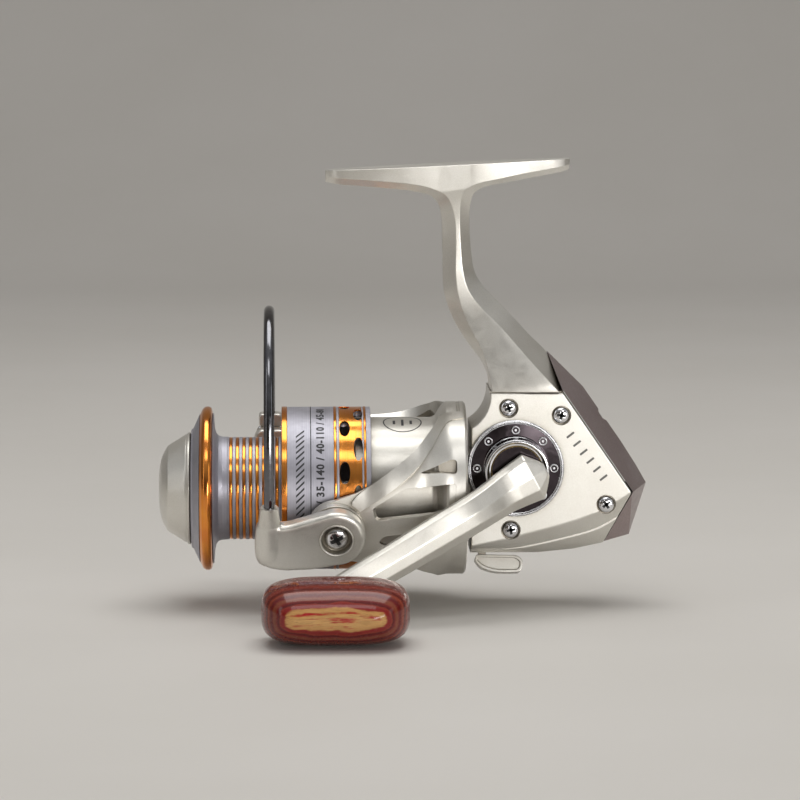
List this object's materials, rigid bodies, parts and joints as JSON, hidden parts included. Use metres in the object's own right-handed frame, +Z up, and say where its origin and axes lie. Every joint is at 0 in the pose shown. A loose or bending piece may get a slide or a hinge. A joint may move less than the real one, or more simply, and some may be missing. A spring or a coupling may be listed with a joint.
{
  "type": "spinning reel",
  "caption": "Fixed-spool fishing reel with a rod foot, geared rotor with folding bail, stroking spool with front drag, crank handle with wooden knob and anti-reverse lever.",
  "frame": {"origin": "centre of the foot's flat top face, where the reel meets the rod", "axes": "+Z up out of the foot, X along the main shaft with the spool towards -X, Y along the crank axis with the handle on the -Y side"},
  "size_m": [0.1399, 0.1235, 0.128],
  "materials": {
    "champagne": "satin champagne metallic paint on die-cast alloy",
    "mauve": "satin brown-mauve metallic paint on die-cast alloy",
    "chrome": "polished chrome plate",
    "black_chrome": "polished black chrome plate",
    "steel": "ground steel",
    "brass": "machined brass",
    "plastic": "moulded, matte",
    "spool_grey": "satin grey anodised, turned",
    "gold_anodised": "bright orange-gold anodised",
    "felt": "oiled felt",
    "laminated_wood": "laminated veneer, clear gloss lacquer"
  },
  "bodies": {
    "body": {"body_housing": "champagne", "side_cover": "champagne", "cover_screw_1": "chrome", "cover_screw_2": "chrome", "cover_screw_3": "chrome", "cover_screw_4": "chrome", "rear_guard": "mauve", "rear_guard_screw": "chrome", "bezel_ring": "chrome", "bezel_disc": "black_chrome", "drive_bearing_near": "steel", "drive_bearing_far": "steel", "pinion_bearing": "steel", "clutch_housing": "steel", "clutch_retainer": "steel", "guide_rail_middle": "steel", "guide_rail_side": "steel", "far_bearing_cap": "champagne"},
    "anti_reverse": {"anti_reverse_lever": "champagne"},
    "crank": {"drive_gear": "brass", "handle_hub": "chrome", "handle_arm": "champagne", "knob_shaft": "steel"},
    "knob": {"handle_knob": "laminated_wood", "knob_bush": "plastic"},
    "oscillation": {"oscillation_gear": "brass"},
    "shaft": {"main_shaft": "steel", "oscillation_slider": "steel", "slider_screw": "steel", "click_gear": "plastic", "drag_washer_steel": "steel"},
    "spool": {"spool": "spool_grey", "spool_front_flange": "spool_grey", "spool_skirt": "spool_grey", "spool_lip_ring": "gold_anodised", "spool_bearing": "steel", "drag_washer_felt_inner": "felt", "drag_washer_felt_outer": "felt", "drag_retaining_ring": "steel"},
    "drag": {"drag_knob": "champagne", "drag_nut": "brass", "drag_spring": "steel"},
    "rotor": {"rotor": "champagne", "rotor_nut": "steel", "pinion_gear": "brass", "clutch_sleeve": "steel", "bail_screw_near": "chrome", "bail_screw_far": "chrome", "bail_spring": "steel"},
    "bail": {"bail_arm_near": "champagne", "bail_arm_far": "champagne", "bail_wire": "black_chrome", "roller_screw": "chrome"},
    "roller": {"line_roller": "chrome"}
  },
  "joints": [
    {"name": "crank_turn", "type": "hinge", "parent": "body", "child": "crank", "pos_m": [0.01895, 0, -0.08575], "axis": [0, 1, 0], "continuous": true},
    {"name": "rotor_turn", "type": "hinge", "parent": "body", "child": "rotor", "pos_m": [0.01895, 0, -0.09295], "axis": [1, 0, 0], "continuous": true},
    {"name": "oscillation_turn", "type": "hinge", "parent": "body", "child": "oscillation", "pos_m": [0.02415, 0, -0.09695], "axis": [0, 1, 0], "continuous": true},
    {"name": "spool_stroke", "type": "slide", "parent": "body", "child": "shaft", "axis": [1, 0, 0], "range_m": [-0.002, 0.0108]},
    {"name": "spool_slip", "type": "hinge", "parent": "shaft", "child": "spool", "pos_m": [0.01895, 0, -0.09295], "axis": [1, 0, 0], "continuous": true},
    {"name": "drag_adjust", "type": "hinge", "parent": "shaft", "child": "drag", "pos_m": [0.01895, 0, -0.09295], "axis": [1, 0, 0], "range_deg": [-360, 360]},
    {"name": "bail_open", "type": "hinge", "parent": "rotor", "child": "bail", "pos_m": [-0.03215, 0, -0.09295], "axis": [0, -0.9563, -0.2924], "range_deg": [0, 125]},
    {"name": "roller_spin", "type": "hinge", "parent": "bail", "child": "roller", "pos_m": [-0.05125, 0.03443, -0.08242], "axis": [0, 0.9563, 0.2924], "continuous": true},
    {"name": "knob_spin", "type": "hinge", "parent": "crank", "child": "knob", "pos_m": [-0.03291, 0, -0.11744], "axis": [0, 1, 0], "continuous": true},
    {"name": "anti_reverse_switch", "type": "hinge", "parent": "body", "child": "anti_reverse", "pos_m": [0.01895, 0, -0.10665], "axis": [1, 0, 0], "range_deg": [0, 28]}
  ],
  "couplings": [
    {"joint": "rotor_turn", "follows": "crank_turn", "ratio": 5.1429},
    {"joint": "oscillation_turn", "follows": "crank_turn", "ratio": -0.4}
  ]
}
